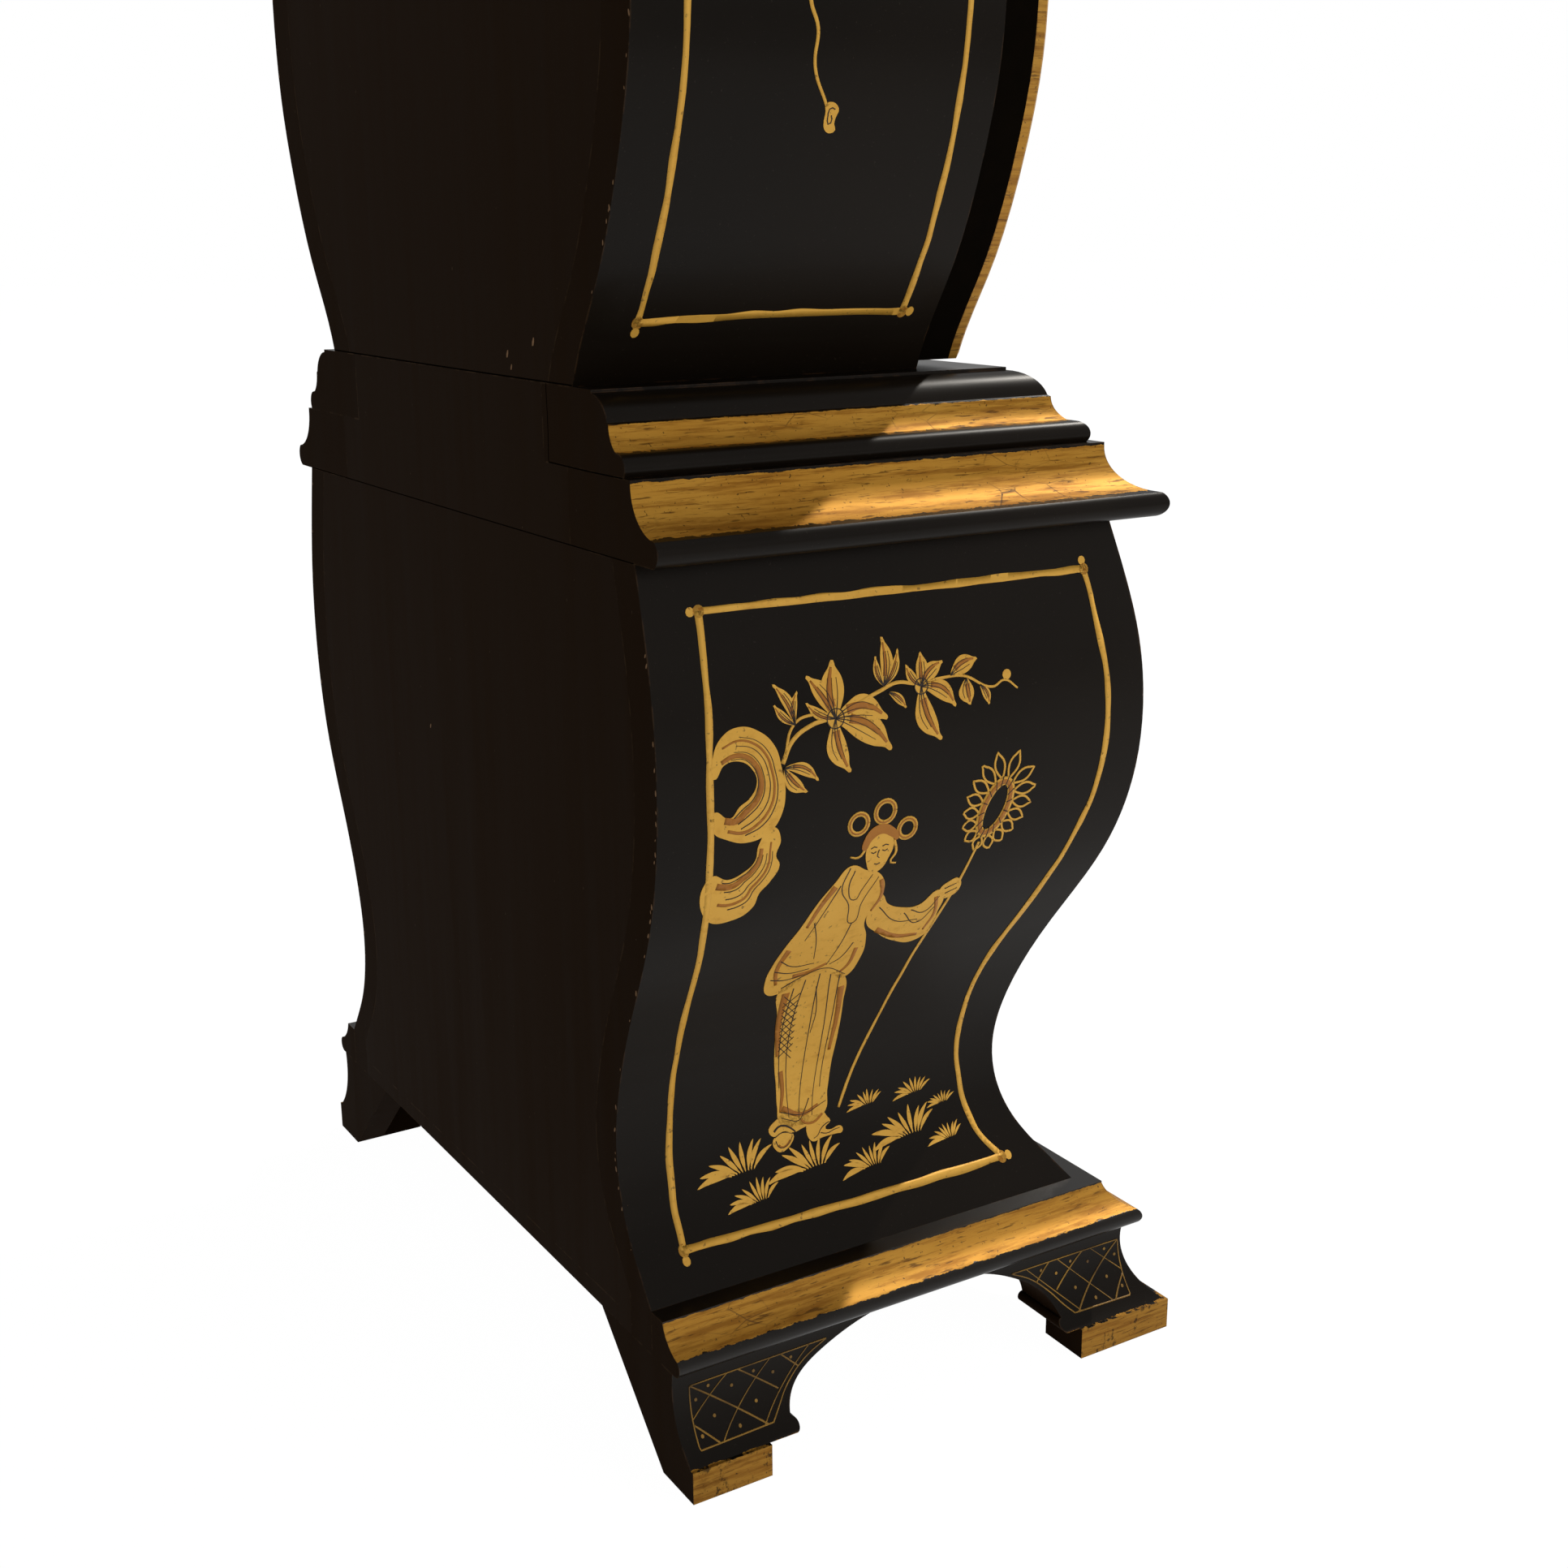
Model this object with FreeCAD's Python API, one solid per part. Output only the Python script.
import FreeCAD, Part
import math
import os

# A bombe longcase pendulum clock in black lacquer and gilding, standing on bracket feet.
# Millimetres. +Z is up, +X is to the right as seen from the front, and the front faces -Y.
# The origin is on the floor under the middle of the case.
# A depth is counted from the flat back of the case towards the front.

Vector = FreeCAD.Vector

# Case plan: the front of the base stands plan_offset further from the back than a side from the middle
plan_offset = 55.0
overrun = 40.0
running_gap = 0.05
sliding_gap = 0.3

# Bracket feet
foot_height = 62.0
toe_height = 17.5
toe_thickness = 31.0
toe_ledge = 2.0
toe_spread = 19.0
bracket_thickness = 24.0
bracket_setback = 7.5
front_toe_length = 62.0
rear_toe_length = 45.0
front_spur = 11.0
rear_spur = 19.0
spur_radius = 3.0
front_bracket_length = 127.0
rear_bracket_length = 131.0
back_bracket_thickness = 18.0
back_bracket_top_width = 52.0
foot_hollow_shares = (0.26, 0.33)
arch_shares = ((0.13, 0.37), (0.37, 0.63), (0.69, 0.86))

# Base: the bulge goes from the waist's half width to the belly's
base_height = 371.0
base_waist_half_width = 177.7
base_belly_half_width = 230.2
base_panel_thickness = 22.0
base_back_thickness = 14.0
base_floor_thickness = 10.0
base_outline_shares = ((0.0, 0.62), (0.04, 0.41), (0.09, 0.18), (0.14, 0.05), (0.205, 0.0), (0.30, 0.115),
                       (0.41, 0.41), (0.52, 0.755), (0.63, 0.95), (0.725, 1.0), (0.84, 0.945),
                       (0.92, 0.838), (1.0, 0.705))

# Plinth moulding round the foot of the base: a bead under a hollow
plinth_height = 24.0
plinth_projection = 28.25
plinth_shares = ((0.823, 0.0), (1.0, 0.208), (0.911, 0.389), (0.56, 0.66), (0.42, 0.96))

# Waist moulding between base and trunk, in two tiers
lower_tier_height = 36.5
lower_tier_projection = 21.8
lower_tier_hollow = 23.9
lower_tier_bearing = 42.5
lower_tier_shares = ((0.80, 0.0), (1.0, 0.18), (0.88, 0.33), (0.71, 0.35), (0.21, 0.56), (0.0, 0.96))
upper_tier_height = 36.5
upper_tier_setback = 5.1
upper_tier_ledge = 18.5
upper_tier_bearing = 7.5
upper_tier_shares = ((0.96, 0.0), (1.0, 0.15), (0.86, 0.28), (0.72, 0.30), (0.58, 0.44), (0.53, 0.61),
                     (0.49, 0.63), (0.35, 0.83), (0.0, 0.96))

# Trunk: the bulge goes from the neck's half width to the belly's
trunk_height = 870.0
trunk_neck_half_width = 143.0
trunk_belly_half_width = 226.0
trunk_panel_thickness = 26.0
trunk_back_thickness = 16.0
trunk_side_depth = 190.0
trunk_rail_thickness = 24.0
trunk_rail_height = 40.0
trunk_belly_share = 0.212
trunk_outline_shares = ((0.0, 0.187), (0.023, 0.305), (0.056, 0.531), (0.091, 0.718), (0.125, 0.853),
                        (0.159, 0.951), (0.212, 1.0), (0.287, 0.94), (0.379, 0.747), (0.494, 0.458),
                        (0.609, 0.217), (0.724, 0.072), (0.839, 0.012), (1.0, 0.0))

# Trunk door, its gilt bead, lock and hinges
door_thickness = 18.4
door_gap = 0.6
door_edge_gap = 4.0
door_inset = 1.0
bead_width = 12.0
bead_thickness = 8.0
bead_slope = 3.0
hinge_knuckle_radius = 3.5
hinge_pin_radius = 1.5
hinge_stand_off = 0.9
hinge_leaf_thickness = 2.0
hinge_length = 42.0
trunk_hinge_spread = 44.0
trunk_leaf_width = 30.0
hood_leaf_width = 17.5
hood_hinge_spread = 110.0
escutcheon_rise = 210.0
escutcheon_edge = 28.0
escutcheon_half_width = 11.0
escutcheon_half_height = 21.0
escutcheon_thickness = 1.5
key_shank_radius = 2.4
key_shank_length = 36.0
key_depth = 17.0
key_bow_radius = 9.0
key_bow_wire = 2.2

# Throat moulding that carries the hood
throat_height = 40.0
throat_foot_projection = 7.0
throat_lip = 8.0
throat_overhang = 6.0
throat_step = 3.0
throat_hollow_shares = (0.25, 0.60)

# Hood, with the dial's opening and the glazed door
hood_room = 15.0
hood_side_thickness = 14.0
hood_top_margin = 165.0
hood_mask_thickness = 14.0
hood_mask_clearance = 4.5
hood_door_thickness = 21.4
hood_door_margin = 4.0
hood_top_thickness = 16.0
glass_thickness = 3.0
glass_rebate = 4.0
glass_depth_share = 0.58
cornice_height = 44.0
cornice_projection = 42.0
cornice_bearing = 7.0
cornice_shares = ((0.05, 0.0), (0.14, 0.12), (0.2, 0.2), (0.38, 0.55), (0.8, 0.76), (0.88, 0.8), (1.0, 0.88))
bell_height = 96.0
bell_top_half_width = 84.0
bell_setback = 12.0
bell_shares = ((0.0, 0.0), (0.04, 0.10), (0.42, 0.40), (0.78, 0.72), (0.92, 0.88), (0.92, 1.0))
finial_height = 108.0
finial_ball_radius = 23.0
finial_neck_shares = ((0.0, 1.0), (0.09, 1.0), (0.12, 0.60), (0.28, 0.36))
finial_spire_shares = ((0.54, 0.62), (0.66, 0.24), (1.0, 0.04))
finial_ball_share = 0.44

# Pendulum: it beats seconds
pendulum_length = 994.0
pendulum_setback = 10.0
rod_radius = 4.0
rod_tail = 30.0
bob_radius = 75.0
bob_thickness = 28.0
bob_rim = 12.0
nut_radius = 13.0
nut_height = 9.0
spring_thickness = 0.5
spring_width = 10.0
spring_length = 24.0
spring_block = 8.0
spring_play = 1.0

# Train: tooth counts and modules
great_teeth = 96
centre_pinion_teeth = 8
great_module = 1.0
centre_teeth = 60
third_pinion_teeth = 8
centre_module = 0.9
third_teeth = 56
escape_pinion_teeth = 7
third_module = 0.8
cannon_teeth = 12
minute_teeth = 36
cannon_module = 1.3333
minute_pinion_teeth = 10
hour_teeth = 40
third_angle_deg = 66.3
escape_teeth = 30
escape_radius = 22.0
escape_tooth_height = 5.0
escape_tooth_shares = (0.30, 0.38, 0.70)
anchor_rise = 32.5
anchor_clearance = 1.8
anchor_width = 5.2
anchor_half_span_deg = 46.0
anchor_hub_radius = 5.0
wheel_tooth_shares = (0.9, 1.2, 0.66, 0.16)
pinion_tooth_shares = (0.35, 1.35, 0.52, 0.26)
wheel_thickness = 3.0
pinion_overhang = 1.5
wheel_rim_share = 0.84
wheel_spokes = 4
spoke_half_width = 2.4
wheel_hub_radius = 5.0
great_hub_radius = 8.0
hour_hub_radius = 12.0
arbor_radius = 2.5
fine_arbor_radius = 1.6
pivot_radius = 1.2
winding_arbor_radius = 4.0
winding_square = 6.0
barrel_flange = 4.8
barrel_flange_thickness = 2.0
barrel_length = 28.0

# Movement frame, from the back plate's depth towards the front
back_plate_depth = 108.0
plate_half_width = 55.0
plate_thickness = 2.5
plate_top_margin = 12.5
great_wheel_room = 4.1
barrel_room = 3.5
escape_wheel_room = 7.5
third_wheel_room = 17.5
centre_wheel_room = 2.0
great_wheel_space = 4.0
front_plate_room = 11.0
pillar_radius = 4.0
pillar_inset = 9.0
cock_reach = 28.0
cock_thickness = 6.0
cock_half_width = 26.0
cock_leg = 8.0
cock_rise = 14.0
cock_drop = 7.0
cock_arm_length = 18.0
cock_arm_half_width = 9.0
crutch_reach = 14.0
crutch_thickness = 3.0
crutch_half_width = 2.5
crutch_length = 130.0
crutch_fork_gap = 0.4
crutch_fork_width = 2.5
crutch_fork_reach = 8.0
crutch_foot_height = 5.0

# Motion work, dial and hands, from the front plate towards the front
motion_wheel_room = 2.5
hour_wheel_room = 2.0
dial_room = 41.0
dial_edge_room = 26.0
dial_cover = 8.0
dial_thickness = 2.5
dial_foot_radius = 3.0
dial_foot_share = 0.85
dial_hole_clearance = 2.0
ring_margin = 3.0
ring_width = 37.0
ring_thickness = 1.5
hour_hand_room = 2.0
minute_hand_room = 3.5
hand_thickness = 1.5
hand_tip_clearance = 1.0
hour_hand_margin = 10.0
minute_hand_margin = 11.0
hour_hand_angle_deg = 305.0
minute_hand_angle_deg = 60.0
hand_hub_radius = 12.0
cannon_pipe_radius = 4.0
hour_pipe_radius = 6.0
stud_radius = 2.0
minute_stud_angle_deg = 225.0
hand_shares = ((0.0, 0.060), (0.30, 0.022), (0.42, 0.022), (0.56, 0.075), (0.70, 0.022), (0.88, 0.03),
               (1.0, 0.0))

# Seat board, weight and line
seat_rise = 60.0
seat_thickness = 20.0
seat_back_depth = 90.0
seat_front_depth = 184.0
line_radius = 0.8
line_hole_radius = 6.0
line_seat = 0.3
pulley_radius = 24.0
pulley_rim = 3.0
pulley_thickness = 8.0
pulley_groove = 3.0
groove_floor = 1.8
stirrup_gap = 1.0
stirrup_thickness = 2.0
stirrup_half_width = 8.0
stirrup_drop = 40.0
stirrup_block = 12.0
weight_radius = 32.0
weight_length = 180.0
weight_floor_clearance = 78.0
weight_stem_radius = 4.0
weight_stem_length = 20.0
weight_crown = 10.0
weight_crown_shares = ((1.0, 0.0), (0.86, 0.5), (0.5, 0.9))

# Places worked out from the sizes above: the case from the floor up
base_bulge = base_belly_half_width - base_waist_half_width
plinth_half_width = base_waist_half_width + base_outline_shares[0][1] * base_bulge
base_top_half_width = base_waist_half_width + base_outline_shares[-1][1] * base_bulge
plinth_nose_half_width = plinth_half_width + plinth_projection
foot_top_half_width = plinth_nose_half_width - bracket_setback
toe_half_width = foot_top_half_width + toe_spread
case_depth = toe_half_width + plan_offset
back_y = case_depth / 2
plinth_top_z = foot_height + plinth_height
base_top_z = plinth_top_z + base_height
lower_tier_top_z = base_top_z + lower_tier_height
upper_tier_top_z = lower_tier_top_z + upper_tier_height
trunk_bulge = trunk_belly_half_width - trunk_neck_half_width
trunk_foot_half_width = trunk_neck_half_width + trunk_outline_shares[0][1] * trunk_bulge
waist_nose_half_width = base_top_half_width + lower_tier_projection
lower_tier_top_half_width = waist_nose_half_width - lower_tier_hollow
lower_tier_inner_half_width = base_top_half_width - base_panel_thickness - lower_tier_bearing
upper_tier_foot_half_width = lower_tier_top_half_width - upper_tier_setback
upper_tier_cap_half_width = trunk_foot_half_width + upper_tier_ledge
upper_tier_inner_half_width = trunk_foot_half_width - trunk_panel_thickness - upper_tier_bearing
trunk_bottom_z = upper_tier_top_z
trunk_belly_z = trunk_bottom_z + trunk_belly_share * trunk_height
trunk_top_z = trunk_bottom_z + trunk_height
throat_top_z = trunk_top_z + throat_height
door_back_depth = trunk_side_depth + door_gap
door_front_depth = door_back_depth + door_thickness

# Train
great_distance = great_module * (great_teeth + centre_pinion_teeth) / 2
third_distance = centre_module * (centre_teeth + third_pinion_teeth) / 2
escape_distance = third_module * (third_teeth + escape_pinion_teeth) / 2
motion_distance = cannon_module * (cannon_teeth + minute_teeth) / 2
hour_module = 2 * motion_distance / (hour_teeth + minute_pinion_teeth)
great_tip_radius = great_module * (great_teeth / 2 + wheel_tooth_shares[0])
seat_bottom_z = throat_top_z + seat_rise
seat_top_z = seat_bottom_z + seat_thickness
barrel_z = seat_top_z + great_wheel_room + great_tip_radius
centre_z = barrel_z + great_distance
third_x = third_distance * math.cos(math.radians(third_angle_deg))
third_z = centre_z + third_distance * math.sin(math.radians(third_angle_deg))
escape_z = third_z + math.sqrt(escape_distance ** 2 - third_x ** 2)
pivot_z = escape_z + anchor_rise
plate_top_z = pivot_z + plate_top_margin
minute_x = motion_distance * math.cos(math.radians(minute_stud_angle_deg))
minute_z = centre_z + motion_distance * math.sin(math.radians(minute_stud_angle_deg))
drum_radius = pulley_radius - line_radius - line_seat

# Depths through the movement, from the back
back_plate_face = back_plate_depth + plate_thickness
barrel_depth = back_plate_face + barrel_room
pulley_depth = barrel_depth + barrel_length / 2
escape_wheel_depth = back_plate_face + escape_wheel_room
third_wheel_depth = back_plate_face + third_wheel_room
centre_wheel_depth = barrel_depth + barrel_length + centre_wheel_room
great_wheel_depth = centre_wheel_depth + wheel_thickness + great_wheel_space
front_plate_depth = great_wheel_depth + wheel_thickness + front_plate_room
front_plate_face = front_plate_depth + plate_thickness
motion_wheel_depth = front_plate_face + motion_wheel_room
hour_wheel_depth = motion_wheel_depth + wheel_thickness + hour_wheel_room
dial_depth = hour_wheel_depth + wheel_thickness + dial_room
dial_face_depth = dial_depth + dial_thickness
hour_hand_depth = dial_face_depth + ring_thickness + hour_hand_room
minute_hand_depth = hour_hand_depth + hand_thickness + minute_hand_room
cock_depth = back_plate_depth - cock_reach
pendulum_depth = cock_depth - pendulum_setback
crutch_depth = back_plate_depth - crutch_reach

# Hood round the dial
hood_inner_half_width = trunk_neck_half_width + hood_room
hood_half_width = hood_inner_half_width + hood_side_thickness
dial_half_width = hood_inner_half_width - dial_edge_room
hood_opening_half_width = dial_half_width - dial_cover
ring_outer_radius = hood_opening_half_width - ring_margin
ring_inner_radius = ring_outer_radius - ring_width
hood_mask_depth = dial_face_depth + hood_mask_clearance
hood_frame_depth = hood_mask_depth + hood_mask_thickness
hood_door_depth = hood_frame_depth + door_gap
hood_front_depth = hood_door_depth + hood_door_thickness
hood_plan_offset = hood_front_depth - hood_half_width
glass_front_depth = hood_door_depth + glass_depth_share * hood_door_thickness
hood_bottom_z = throat_top_z + sliding_gap
hood_top_z = centre_z + hood_top_margin
cornice_inner_half_width = hood_half_width - cornice_bearing
cornice_top_z = hood_top_z + cornice_height
bell_top_z = cornice_top_z + bell_height

# Pendulum and weight
bob_z = pivot_z - pendulum_length
weight_bottom_z = foot_height + base_floor_thickness + weight_floor_clearance
weight_top_z = weight_bottom_z + weight_length
stirrup_bottom_z = weight_top_z + weight_stem_length
pulley_z = stirrup_bottom_z + stirrup_block + stirrup_drop


def at(x, depth, z):
    """A point from its place across, its depth from the back and its height."""
    return Vector(x, back_y - depth, z)


def across(depth):
    """Places an outline of (x, z) points in an upright plane parallel to the back."""
    return lambda point: at(point[0], depth, point[1])


def sideways(x):
    """Places an outline of (depth, z) points in an upright plane parallel to the sides."""
    return lambda point: at(x, point[0], point[1])


def in_plan(z):
    """Places an outline of (x, depth) points in a level plane."""
    return lambda point: at(point[0], point[1], z)


def line(start, end):
    return ("line", start, end)


def curve(*points):
    return ("curve",) + points


def arc(start, middle, end):
    return ("arc", start, middle, end)


def face_of(strokes, place):
    """A flat face inside a closed run of lines, arcs and smooth curves."""
    edges = []
    for kind, *points in strokes:
        placed = [place(point) for point in points]
        if kind == "line":
            edges.append(Part.LineSegment(*placed).toShape())
        elif kind == "arc":
            edges.append(Part.Arc(*placed).toShape())
        else:
            smooth = Part.BSplineCurve()
            smooth.interpolate(placed)
            edges.append(smooth.toShape())
    return Part.Face(Part.Wire(edges))


def chain(points):
    """The strokes of an open run of straight lines."""
    return [line(points[k], points[k + 1]) for k in range(len(points) - 1)]


def polygon(points):
    """The strokes of a closed outline with straight sides."""
    return chain(list(points) + [points[0]])


def mirrored(points):
    return [(-x, z) for x, z in points]


def backwards(points):
    return list(reversed(list(points)))


def board(strokes, depth_from, depth_to):
    """An (x, z) outline made into a board between two depths."""
    return face_of(strokes, across(depth_from)).extrude(Vector(0, depth_from - depth_to, 0))


def block(x_from, x_to, depth_from, depth_to, z_from, z_to):
    corners = [(x_from, z_from), (x_to, z_from), (x_to, z_to), (x_from, z_to)]
    return board(polygon(corners), depth_from, depth_to)


def slab(half, depth_from, depth_to, z_from, z_to):
    """A block that reaches equally far to the left and to the right."""
    return block(-half, half, depth_from, depth_to, z_from, z_to)


def square_board(half, depth_from, depth_to):
    """A square board round the centre of the dial."""
    return slab(half, depth_from, depth_to, centre_z - half, centre_z + half)


def turned(x, z, radius, depth_from, depth_to):
    """A round bar lying from back to front."""
    return Part.makeCylinder(radius, depth_to - depth_from, at(x, depth_from, z), Vector(0, -1, 0))


def upright(x, depth, radius, z_from, z_to):
    return Part.makeCylinder(radius, z_to - z_from, at(x, depth, z_from), Vector(0, 0, 1))


def bored(shape, x, z, radius):
    """Cuts a round hole from back to front."""
    return shape.cut(turned(x, z, radius, 0, case_depth))


def joined(shapes):
    return shapes[0].multiFuse(shapes[1:]).removeSplitter()


def on_other_side(shape):
    return shape.mirror(Vector(0, 0, 0), Vector(1, 0, 0))


# Outlines of the case, and profiles run round it


def base_outline(shrink):
    """Half widths and heights up the bulging base, drawn in by a wall's thickness."""
    return [(base_waist_half_width + bulge * base_bulge - shrink, plinth_top_z + rise * base_height)
            for rise, bulge in base_outline_shares]


def trunk_outline(shrink):
    """Half widths and heights up the bulging trunk, drawn in by a wall's thickness."""
    return [(trunk_neck_half_width + bulge * trunk_bulge - shrink, trunk_bottom_z + rise * trunk_height)
            for rise, bulge in trunk_outline_shares]


def mitre_space(plan):
    return face_of(polygon(plan), in_plan(-overrun)).extrude(Vector(0, 0, bell_top_z + 2 * overrun))


def left_run(strokes, offset):
    """A profile of (half width, z) run along the left side from the back to the mitre."""
    far = toe_half_width + overrun
    space = mitre_space([(-far, 0), (0, 0), (0, offset), (-far, offset + far)])
    flipped = [(kind,) + tuple(mirrored(points)) for kind, *points in strokes]
    return board(flipped, 0, case_depth + overrun).common(space).Solids[0]


def front_run(strokes, offset):
    """The same profile run across the front between the two mitres."""
    far = toe_half_width + overrun
    space = mitre_space([(0, offset), (far, offset + far), (-far, offset + far)])
    deep = [(kind,) + tuple((a + offset, z) for a, z in points) for kind, *points in strokes]
    run = face_of(deep, sideways(-far)).extrude(Vector(2 * far, 0, 0))
    return run.common(space).Solids[0]


def moulding(side_strokes, front_strokes, offset):
    """A moulding mitred round the two sides and the front."""
    left = left_run(side_strokes, offset)
    return joined([left, front_run(front_strokes, offset), on_other_side(left)])


# Feet


def foot_section():
    """The section of a bracket: a hollow face that spreads to a square toe."""
    toe_inner = toe_half_width - toe_thickness
    inner = foot_top_half_width - bracket_thickness
    ledge = toe_half_width - toe_ledge
    out_share, up_share = foot_hollow_shares
    hollow = (foot_top_half_width + out_share * (ledge - foot_top_half_width),
              toe_height + up_share * (foot_height - toe_height))
    return [line((toe_inner, 0), (toe_half_width, 0)),
            line((toe_half_width, 0), (toe_half_width, toe_height)),
            line((toe_half_width, toe_height), (ledge, toe_height)),
            arc((ledge, toe_height), hollow, (foot_top_half_width, foot_height)),
            line((foot_top_half_width, foot_height), (inner, foot_height)),
            line((inner, foot_height), (inner, toe_height)),
            line((inner, toe_height), (toe_inner, toe_height)),
            line((toe_inner, toe_height), (toe_inner, 0))]


def bracket_elevation(toe_length, spur, length, along):
    """The cut outline of a bracket seen square on: toe, spur and half of the arch."""
    tip = toe_length + spur
    neck = tip - spur_radius
    arch_foot_z = toe_height + 2 * spur_radius
    arch = [(along(neck + out * (length - neck)), arch_foot_z + up * (foot_height - arch_foot_z))
            for out, up in arch_shares]
    return [line((along(0), 0), (along(toe_length), 0)),
            line((along(toe_length), 0), (along(toe_length), toe_height)),
            line((along(toe_length), toe_height), (along(neck), toe_height)),
            arc((along(neck), toe_height), (along(tip), toe_height + spur_radius), (along(neck), arch_foot_z)),
            curve((along(neck), arch_foot_z), *arch, (along(length), foot_height)),
            line((along(length), foot_height), (along(0), foot_height)),
            line((along(0), foot_height), (along(0), 0))]


def side_bracket(toe_length, spur, length, along):
    """A bracket along the left side, cut to its elevation."""
    far = toe_half_width + overrun
    cut = face_of(bracket_elevation(toe_length, spur, length, along), sideways(-far))
    return left_run(foot_section(), plan_offset).common(cut.extrude(Vector(far, 0, 0))).Solids[0]


def front_left_foot():
    """Two brackets mitred at the front corner."""
    side = side_bracket(front_toe_length, front_spur, front_bracket_length, lambda u: case_depth - u)
    cut = bracket_elevation(front_toe_length, front_spur, front_bracket_length, lambda u: u - toe_half_width)
    front = front_run(foot_section(), plan_offset).common(board(cut, 0, case_depth + overrun))
    return joined([side, front.Solids[0]])


def rear_left_foot():
    """A side bracket that ends flush with the back, and a plain slanted bracket behind."""
    side = side_bracket(rear_toe_length, rear_spur, rear_bracket_length, lambda u: u)
    toe_inner = toe_half_width - toe_thickness
    inner = foot_top_half_width - bracket_thickness
    slant = [(-toe_inner, 0), (-toe_inner, toe_height), (-inner, toe_height), (-inner, foot_height),
             (back_bracket_top_width - inner, foot_height)]
    return joined([side, board(polygon(slant), 0, back_bracket_thickness)])


# Base


def base_panel_section():
    """The bulging wall, which stands straight behind the plinth moulding."""
    outer = base_outline(0)
    inner = base_outline(base_panel_thickness)
    outer_foot = (outer[0][0], foot_height)
    inner_foot = (inner[0][0], foot_height)
    return [line(outer_foot, outer[0]),
            curve(*outer),
            line(outer[-1], inner[-1]),
            curve(*backwards(inner))] + chain([inner[0], inner_foot, outer_foot])


def base_back():
    """The flat back between the side panels, carried up between the ends of the waist moulding."""
    inner = base_outline(base_panel_thickness)
    low = (inner[0][0], foot_height + base_floor_thickness)
    steps = [inner[-1], (lower_tier_inner_half_width, base_top_z),
             (lower_tier_inner_half_width, lower_tier_top_z), (upper_tier_inner_half_width, lower_tier_top_z),
             (upper_tier_inner_half_width, upper_tier_top_z)]
    left_steps = backwards(mirrored(steps))
    left_low = (-low[0], low[1])
    strokes = [line(low, inner[0]), curve(*inner)]
    strokes += chain(steps + left_steps)
    strokes += [curve(*backwards(mirrored(inner)))]
    strokes += chain([mirrored(inner)[0], left_low, low])
    return board(strokes, 0, base_back_thickness)


def base_floor():
    inner = plinth_half_width - base_panel_thickness
    return slab(inner, 0, inner + plan_offset, foot_height, foot_height + base_floor_thickness)


def plinth_section():
    """A bead below and a hollow above, against the foot of the base."""
    under, nose, over, hollow, top = [
        (plinth_half_width + a * plinth_projection, foot_height + b * plinth_height) for a, b in plinth_shares]
    inner = plinth_half_width
    back = [top, (top[0], plinth_top_z), (inner, plinth_top_z), (inner, foot_height), under]
    return [arc(under, nose, over), arc(over, hollow, top)] + chain(back)


def lower_tier_section():
    """A round nose under a wide hollow."""
    under, nose, over, foot, hollow, top = [
        (lower_tier_top_half_width + a * lower_tier_hollow, base_top_z + b * lower_tier_height)
        for a, b in lower_tier_shares]
    inner = lower_tier_inner_half_width
    back = [top, (top[0], lower_tier_top_z), (inner, lower_tier_top_z), (inner, base_top_z), under]
    return [arc(under, nose, over), line(over, foot), arc(foot, hollow, top)] + chain(back)


def upper_tier_section():
    """A round band, a narrow hollow and a rounded cap that the trunk stands on."""
    out = upper_tier_foot_half_width - upper_tier_cap_half_width
    under, band, over, foot, hollow, top, cap_foot, cap, cap_top = [
        (upper_tier_cap_half_width + a * out, lower_tier_top_z + b * upper_tier_height)
        for a, b in upper_tier_shares]
    inner = upper_tier_inner_half_width
    back = [cap_top, (cap_top[0], upper_tier_top_z), (inner, upper_tier_top_z), (inner, lower_tier_top_z),
            under]
    return [arc(under, band, over), line(over, foot), arc(foot, hollow, top), line(top, cap_foot),
            arc(cap_foot, cap, cap_top)] + chain(back)


# Trunk


def trunk_left():
    """A bulging side, carried up past the throat moulding to hold the seat board."""
    outer = mirrored(trunk_outline(0))
    inner = mirrored(trunk_outline(trunk_panel_thickness))
    strokes = [curve(*outer)]
    strokes += chain([outer[-1], (outer[-1][0], seat_bottom_z), (inner[-1][0], seat_bottom_z), inner[-1]])
    strokes += [curve(*backwards(inner)), line(inner[0], outer[0])]
    side = board(strokes, 0, trunk_side_depth)
    return side.cut(slab(trunk_belly_half_width + overrun, -overrun, trunk_back_thickness,
                         throat_top_z, seat_bottom_z + overrun))


def trunk_right():
    """The same side on the right, with beds for the hinge leaves in its front edge."""
    side = on_other_side(trunk_left())
    for z in trunk_hinge_heights():
        side = side.cut(hinge_bed(trunk_hinge_x(), trunk_leaf_width, z,
                                  trunk_side_depth - hinge_leaf_thickness,
                                  trunk_side_depth))
    return side


def trunk_inside(depth_from, depth_to, z_from, z_to):
    """What fills the space between the two sides, between two depths and two heights."""
    inner = trunk_outline(trunk_panel_thickness)
    neck = inner[-1][0]
    strokes = [curve(*inner)]
    strokes += chain([inner[-1], (neck, seat_bottom_z), (-neck, seat_bottom_z), (-neck, trunk_top_z)])
    strokes += [curve(*backwards(mirrored(inner))), line(mirrored(inner)[0], inner[0])]
    limits = slab(trunk_belly_half_width, depth_from, depth_to, z_from, z_to)
    return board(strokes, depth_from, depth_to).common(limits).Solids[0]


def trunk_back():
    """The back between the sides, which widens inside the hood."""
    low = trunk_inside(0, trunk_back_thickness, trunk_bottom_z, throat_top_z)
    high = slab(hood_inner_half_width - sliding_gap, 0, trunk_back_thickness,
                throat_top_z, hood_top_z - sliding_gap)
    return joined([low, high])


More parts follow.
